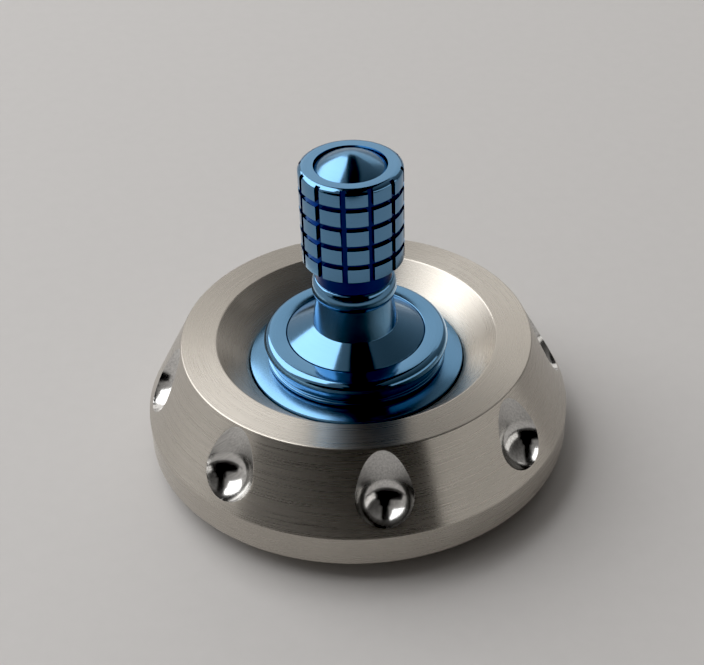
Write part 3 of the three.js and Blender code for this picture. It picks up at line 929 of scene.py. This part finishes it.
class SPINTOP_OT_tip(bpy.types.Operator):
    """Turn the tip carrier, cut its flats and set its ball"""
    bl_idname = "spintop.tip"
    bl_label = "Tip"

    def execute(self, context):
        size = context.scene.spinning_top.underside
        made = finishes()
        head = CARRIER_HIGH[1]
        root = size.thread - size.thread_depth
        outline = [
            (0.0, size.pocket_top),
            (size.pocket, size.pocket_top),
            (size.pocket, CARRIER_LOW[2]),
            (size.lip, CARRIER_LOW[2]),
            (head, size.head_shoulder),
            (head, size.head_top),
            (root, size.head_top),
            *thread_ridges(size, size.head_top, CARRIER_HIGH[2]),
            (root, CARRIER_HIGH[2]),
            (0.0, CARRIER_HIGH[2]),
        ]
        carrier = turn("steel_tip_carrier", outline, SMALL_SIDES)
        deselect_all()
        bpy.ops.mesh.primitive_cube_add(size=1.0)
        flat = context.object
        flat.scale = (head, 4 * head, size.flats_top)
        flat.location = ((size.flats + head) / 2, 0.0, size.flats_top / 2)
        place(flat)
        cut(carrier, spaced_copies(flat, 2))
        soften(carrier, size.edge, segments=2)
        dress(carrier, made["top_dark"])
        hand_over(carrier, "tip_carrier", "tip_group")
        radius = (BALL_HIGH[2] - BALL_LOW[2]) / 2
        deselect_all()
        bpy.ops.mesh.primitive_ico_sphere_add(subdivisions=6, radius=radius, location=(0.0, 0.0, radius))
        ball = context.object
        ball.name = "steel_tip_ball"
        place(ball)
        bpy.ops.object.shade_smooth()
        dress(ball, made["top_ball"])
        hand_over(ball, "tip_ball", "tip_group")
        return {"FINISHED"}


class SPINTOP_OT_stage(bpy.types.Operator):
    """Set the floor, the soft light and the camera"""
    bl_idname = "spintop.stage"
    bl_label = "Stage"

    camera_distance: length("Camera distance", "From the middle of the top ring to the camera", 104.8)
    camera_rise: angle("Camera rise", "Camera's height above the top ring, as an angle", 37.17)
    camera_roll: angle("Camera roll", "Lean of the picture", -1.91)
    camera_aside: length("Camera aside", "How far beside the spin axis the camera looks", 0.274)
    room: bpy.props.FloatProperty(name="Room", description="Brightness of the room", default=0.32)
    room_slope: bpy.props.FloatVectorProperty(
        name="Room slope",
        description="How much brighter the room is to the right, at the back and overhead",
        default=(-0.21, 0.15, -0.09))
    lens: bpy.props.FloatProperty(name="Lens", description="Focal length in millimetres", default=71.38)
    black_level: bpy.props.FloatProperty(
        name="Black level", description="Light below this comes out black, as in a contrasty picture",
        default=0.008, min=0.0, max=0.1)

    def execute(self, context):
        self.floor(context)
        self.lights(context)
        self.dark_cards(context)
        self.camera(context)
        return {"FINISHED"}

    def floor(self, context):
        look = context.scene.spinning_top.finish
        deselect_all()
        bpy.ops.mesh.primitive_plane_add(size=3.0, location=(0.0, 0.0, BALL_LOW[2] - 0.02 * MM))
        floor = context.object
        floor.name = "floor"
        place(floor)
        material, nodes, links, shader = new_material("pale_floor")
        coords = nodes.new("ShaderNodeTexCoord")
        grain = noise(nodes, links, coords.outputs["Object"], 700.0, 4.0, 0.6)
        links.new(tint(nodes, links, grain, shade(look.floor, 0.99), shade(look.floor, 1.01)),
                  shader.inputs["Base Color"])
        shader.inputs["Roughness"].default_value = 0.55
        shader.inputs["Specular IOR Level"].default_value = 0.3
        dress(floor, material)

    def lights(self, context):
        ring = Vector((0.0, 0.0, WHEEL_HIGH[2]))
        for name, direction, distance, width, height, power, tone in LIGHTS:
            data = bpy.data.lights.new(name, "AREA")
            data.shape = "RECTANGLE"
            data.size, data.size_y, data.energy, data.color = width, height, power, tone
            lamp = bpy.data.objects.new(name, data)
            direction = Vector(direction).normalized()
            lamp.location = ring + distance * direction
            lamp.rotation_euler = direction.to_track_quat("Z", "Y").to_euler()
            lamp.visible_diffuse = name != "right_window"
            context.collection.objects.link(lamp)
        world = bpy.data.worlds.new("room")
        context.scene.world = world
        world.use_nodes = True
        nodes, links = world.node_tree.nodes, world.node_tree.links
        background = nodes["Background"]
        coords = nodes.new("ShaderNodeTexCoord")
        slope = nodes.new("ShaderNodeVectorMath")
        slope.operation = "DOT_PRODUCT"
        slope.inputs[1].default_value = self.room_slope
        total = nodes.new("ShaderNodeMath")
        total.inputs[1].default_value = self.room
        links.new(coords.outputs["Generated"], slope.inputs[0])
        links.new(slope.outputs["Value"], total.inputs[0])
        links.new(total.outputs[0], background.inputs["Strength"])
        view = context.scene.view_settings
        view.view_transform = "Standard"
        view.use_curve_mapping = True
        view.curve_mapping.black_level = (self.black_level,) * 3
        view.curve_mapping.update()
        background.inputs["Color"].default_value = (1.0, 0.975, 0.95, 1.0)

    def dark_cards(self, context):
        """The dark side of the room, which polished metal shows as black patches."""
        material, nodes, links, shader = new_material("dark_card")
        shader.inputs["Base Color"].default_value = (0.004, 0.004, 0.005, 1.0)
        shader.inputs["Roughness"].default_value = 1.0
        shader.inputs["Specular IOR Level"].default_value = 0.0
        for name, middle, size, turn_x in CARDS:
            deselect_all()
            bpy.ops.mesh.primitive_plane_add(size=1.0)
            card = context.object
            card.name = name
            card.scale = size
            card.rotation_euler.x = math.radians(turn_x)
            card.location = middle
            place(card)
            card.visible_camera = False
            card.visible_shadow = False
            card.visible_diffuse = False
            dress(card, material)

    def camera(self, context):
        target = Vector((-self.camera_aside, 0.0, WHEEL_HIGH[2]))
        place_at = Vector((0.0, -self.camera_distance * math.cos(self.camera_rise),
                           WHEEL_HIGH[2] + self.camera_distance * math.sin(self.camera_rise)))
        forward = (target - place_at).normalized()
        right = forward.cross(Vector((0.0, 0.0, 1.0))).normalized()
        up = right.cross(forward)
        cos, sin = math.cos(self.camera_roll), math.sin(self.camera_roll)
        side, top = right * cos + up * sin, up * cos - right * sin
        data = bpy.data.cameras.new("camera")
        data.lens = self.lens
        data.sensor_width = 36.0
        data.clip_start = 0.001
        camera = bpy.data.objects.new("camera", data)
        basis = Matrix((side, top, -forward)).transposed().to_4x4()
        basis.translation = place_at
        camera.matrix_world = basis
        context.collection.objects.link(camera)
        context.scene.camera = camera


class SPINTOP_PT_panel(bpy.types.Panel):
    bl_label = "Spinning top"
    bl_idname = "SPINTOP_PT_panel"
    bl_space_type = "VIEW_3D"
    bl_region_type = "UI"
    bl_category = "Spinning top"

    def draw(self, context):
        top = context.scene.spinning_top
        for operator in OPERATORS:
            self.layout.operator(operator.bl_idname)
        for key, group in GROUPS.items():
            box = self.layout.box()
            box.label(text=key.capitalize())
            for name in group.__annotations__:
                box.prop(getattr(top, key), name)


OPERATORS = (
    SPINTOP_OT_stage,
    SPINTOP_OT_flywheel,
    SPINTOP_OT_hub_insert,
    SPINTOP_OT_clamp,
    SPINTOP_OT_seals,
    SPINTOP_OT_hub_cap,
    SPINTOP_OT_handle,
    SPINTOP_OT_grip,
    SPINTOP_OT_cap,
    SPINTOP_OT_tip,
)


def register():
    for group in GROUPS.values():
        bpy.utils.register_class(group)
    bpy.utils.register_class(SPINTOP_PG_top)
    for item in (*OPERATORS, SPINTOP_PT_panel):
        bpy.utils.register_class(item)
    bpy.types.Scene.spinning_top = bpy.props.PointerProperty(type=SPINTOP_PG_top)


def unregister():
    del bpy.types.Scene.spinning_top
    for item in (SPINTOP_PT_panel, *reversed(OPERATORS), SPINTOP_PG_top, *reversed(GROUPS.values())):
        bpy.utils.unregister_class(item)


def main():
    register()
    for operator in OPERATORS:
        group, name = operator.bl_idname.split(".")
        getattr(getattr(bpy.ops, group), name)()


if __name__ == "__main__":
    main()
